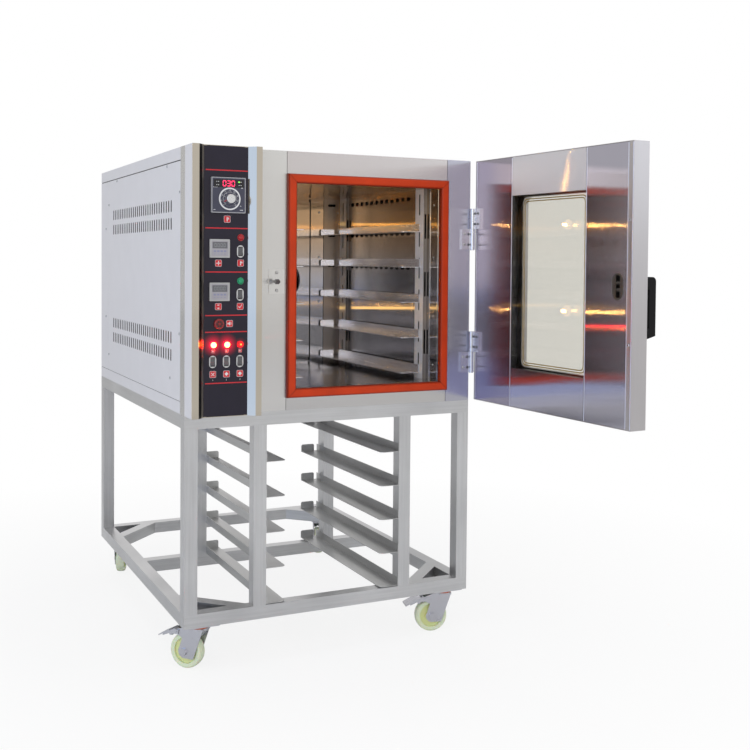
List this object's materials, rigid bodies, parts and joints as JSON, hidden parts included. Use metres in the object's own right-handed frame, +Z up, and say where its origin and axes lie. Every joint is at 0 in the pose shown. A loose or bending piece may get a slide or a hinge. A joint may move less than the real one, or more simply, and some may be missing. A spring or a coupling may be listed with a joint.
{
  "type": "convection oven on a stand",
  "caption": "Electric convection oven with a glazed side-hinged door, a control column and rails for trays, on a tubular stand with tray slides and casters.",
  "frame": {"origin": "the floor under the middle of the body and stand, which share one footprint", "axes": "+Z up, the door and controls face -Y, +X to the right as seen from the front"},
  "size_m": [1.083, 1.8477, 1.462],
  "materials": {
    "satin_steel": "brushed satin stainless steel",
    "tube_steel": "satin stainless square tube",
    "polished_steel": "bright polished stainless steel",
    "grey_paint": "light grey painted sheet",
    "zinc": "bright zinc plated steel",
    "wheel_nylon": "pale yellow-green nylon",
    "black_panel": "gloss black panel",
    "instrument_grey": "dark grey moulded plastic",
    "timer_grey": "grey moulded plastic with a membrane face",
    "knob_metal": "turned aluminium",
    "lamp_lens": "clear coloured lens",
    "buzzer_red": "red moulded plastic",
    "bezel_chrome": "chromed bezel",
    "switch_black": "black moulded plastic",
    "silicone": "orange-red silicone",
    "mineral_wool": "mineral wool",
    "motor_enamel": "dark enamel",
    "heater_sheath": "heat-darkened steel sheath",
    "lamp_glass": "frosted heat-proof glass",
    "window_glass": "clear tempered glass",
    "window_black": "black spacer",
    "handle_black": "black moulded plastic",
    "screw_steel": "bright steel",
    "gland_black": "black nylon"
  },
  "bodies": {
    "root": {"stand_posts": "tube_steel", "stand_top_rails": "tube_steel", "stand_lower_frame": "tube_steel", "stand_slides_left": "satin_steel", "stand_slides_right": "satin_steel", "caster_plates": "zinc", "base_tray": "grey_paint", "left_side_panel": "grey_paint", "right_side_panel": "grey_paint", "top_cover": "grey_paint", "back_cover": "grey_paint", "cable_gland": "gland_black", "panel_screws": "screw_steel", "front_frame": "satin_steel", "column_trim": "polished_steel", "control_panel": "black_panel", "temperature_controller": "instrument_grey", "timers": "timer_grey", "indicator_lamps": "lamp_lens", "buzzer": "buzzer_red", "switch_bezels": "bezel_chrome", "door_gasket": "silicone", "cavity_liner": "polished_steel", "duct_panels": "polished_steel", "fan_baffle": "polished_steel", "rack_uprights": "polished_steel", "oven_rails_left": "polished_steel", "oven_rails_right": "polished_steel", "insulation": "mineral_wool", "cavity_lamps": "lamp_glass", "fan_motor": "motor_enamel", "ring_heater": "heater_sheath", "latch_striker": "satin_steel", "hinge_body_leaves": "satin_steel"},
    "door": {"door_shell": "satin_steel", "door_inner_panels": "polished_steel", "door_glass": "window_glass", "window_frame": "window_black", "door_handle": "handle_black", "roller_catch": "zinc", "hinge_door_leaves": "satin_steel"},
    "catch_upper": {"catch_roller_upper": "zinc"},
    "catch_lower": {"catch_roller_lower": "zinc"},
    "knob": {"temperature_knob": "knob_metal"},
    "fan": {"fan_wheel": "satin_steel"},
    "rocker_1": {"rocker_1": "switch_black"},
    "rocker_2": {"rocker_2": "switch_black"},
    "rocker_3": {"rocker_3": "switch_black"},
    "rocker_4": {"rocker_4": "switch_black"},
    "rocker_5": {"rocker_5": "switch_black"},
    "caster_fl": {"caster_fork_fl": "zinc"},
    "wheel_fl": {"caster_wheel_fl": "wheel_nylon"},
    "pedal_fl": {"brake_pedal_fl": "zinc"},
    "caster_fr": {"caster_fork_fr": "zinc"},
    "wheel_fr": {"caster_wheel_fr": "wheel_nylon"},
    "pedal_fr": {"brake_pedal_fr": "zinc"},
    "caster_bl": {"caster_fork_bl": "zinc"},
    "wheel_bl": {"caster_wheel_bl": "wheel_nylon"},
    "caster_br": {"caster_fork_br": "zinc"},
    "wheel_br": {"caster_wheel_br": "wheel_nylon"}
  },
  "joints": [
    {"name": "door_swing", "type": "hinge", "parent": "root", "child": "door", "pos_m": [0.454, -0.5585, 1.092], "axis": [0, 0, 1], "range_deg": [-93, 42]},
    {"name": "catch_upper_slide", "type": "slide", "parent": "door", "child": "catch_upper", "axis": [0, 0, 1], "range_m": [0, 0.004], "stiffness_N_per_m": 2000},
    {"name": "catch_lower_slide", "type": "slide", "parent": "door", "child": "catch_lower", "axis": [0, 0, -1], "range_m": [0, 0.004], "stiffness_N_per_m": 2000},
    {"name": "knob_turn", "type": "hinge", "parent": "root", "child": "knob", "pos_m": [-0.3427, -0.61, 1.3173], "axis": [0, 1, 0], "range_deg": [0, 270]},
    {"name": "fan_spin", "type": "hinge", "parent": "root", "child": "fan", "pos_m": [0.107, 0.294, 1.081], "axis": [0, 1, 0], "continuous": true},
    {"name": "rocker_1_tilt", "type": "hinge", "parent": "root", "child": "rocker_1", "pos_m": [-0.3093, -0.597, 1.1753], "axis": [1, 0, 0], "range_deg": [0, 20]},
    {"name": "rocker_2_tilt", "type": "hinge", "parent": "root", "child": "rocker_2", "pos_m": [-0.3099, -0.597, 1.0573], "axis": [1, 0, 0], "range_deg": [0, 20]},
    {"name": "rocker_3_tilt", "type": "hinge", "parent": "root", "child": "rocker_3", "pos_m": [-0.3869, -0.597, 0.8752], "axis": [1, 0, 0], "range_deg": [0, 20]},
    {"name": "rocker_4_tilt", "type": "hinge", "parent": "root", "child": "rocker_4", "pos_m": [-0.3483, -0.597, 0.8752], "axis": [1, 0, 0], "range_deg": [0, 20]},
    {"name": "rocker_5_tilt", "type": "hinge", "parent": "root", "child": "rocker_5", "pos_m": [-0.3098, -0.597, 0.8752], "axis": [1, 0, 0], "range_deg": [0, 20]},
    {"name": "swivel_fl", "type": "hinge", "parent": "root", "child": "caster_fl", "pos_m": [-0.392, -0.502, 0.134], "axis": [0, 0, 1], "continuous": true},
    {"name": "roll_fl", "type": "hinge", "parent": "caster_fl", "child": "wheel_fl", "pos_m": [-0.41643, -0.47289, 0.05], "axis": [-0.766, -0.6428, 0], "continuous": true},
    {"name": "brake_fl", "type": "hinge", "parent": "caster_fl", "child": "pedal_fl", "pos_m": [-0.43188, -0.45448, 0.10399], "axis": [-0.766, -0.6428, 0], "range_deg": [0, 18]},
    {"name": "swivel_fr", "type": "hinge", "parent": "root", "child": "caster_fr", "pos_m": [0.392, -0.502, 0.134], "axis": [0, 0, 1], "continuous": true},
    {"name": "roll_fr", "type": "hinge", "parent": "caster_fr", "child": "wheel_fr", "pos_m": [0.35513, -0.49281, 0.05], "axis": [-0.2419, -0.9703, 0], "continuous": true},
    {"name": "brake_fr", "type": "hinge", "parent": "caster_fr", "child": "pedal_fr", "pos_m": [0.33181, -0.48699, 0.10399], "axis": [-0.2419, -0.9703, 0], "range_deg": [0, 18]},
    {"name": "swivel_bl", "type": "hinge", "parent": "root", "child": "caster_bl", "pos_m": [-0.392, 0.502, 0.134], "axis": [0, 0, 1], "continuous": true},
    {"name": "roll_bl", "type": "hinge", "parent": "caster_bl", "child": "wheel_bl", "pos_m": [-0.379, 0.53771, 0.05], "axis": [-0.9397, 0.342, 0], "continuous": true},
    {"name": "swivel_br", "type": "hinge", "parent": "root", "child": "caster_br", "pos_m": [0.392, 0.502, 0.134], "axis": [0, 0, 1], "continuous": true},
    {"name": "roll_br", "type": "hinge", "parent": "caster_br", "child": "wheel_br", "pos_m": [0.379, 0.46629, 0.05], "axis": [0.9397, -0.342, 0], "continuous": true}
  ]
}
